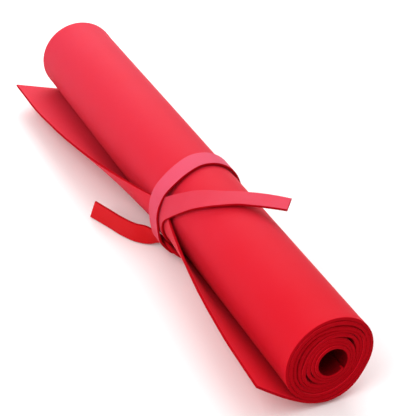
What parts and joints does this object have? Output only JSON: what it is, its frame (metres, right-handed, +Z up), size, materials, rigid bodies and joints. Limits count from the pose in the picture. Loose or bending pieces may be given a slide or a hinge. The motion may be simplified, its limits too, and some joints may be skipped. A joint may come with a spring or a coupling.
{
  "type": "tied backdrop roll",
  "caption": "Thick foam backdrop sheet wound into an open-centred roll, its outer edge hanging loose along one side, tied near the middle with a strip of the same sheet in a half knot.",
  "frame": {"origin": "on the axis of the open centre, at the middle of the roll's length", "axes": "+X along the roll towards the end with the shorter loose stretch, +Z up as it lies on a table, loose edge on the -Y side"},
  "size_m": [0.5, 0.1092, 0.0781],
  "materials": {
    "sheet_foam": "matt",
    "strap_foam": "matt"
  },
  "bodies": {
    "roll": {"sheet_coil": "sheet_foam", "sheet_loose_edge_near": "sheet_foam", "sheet_loose_edge_far": "sheet_foam"},
    "tie": {"tie_strap": "strap_foam"}
  },
  "joints": [
    {"name": "tie_slide", "type": "slide", "parent": "roll", "child": "tie", "axis": [1, 0, 0], "range_m": [-0.1, 0.1], "deforming": ["sheet_loose_edge_near", "sheet_loose_edge_far"]}
  ]
}
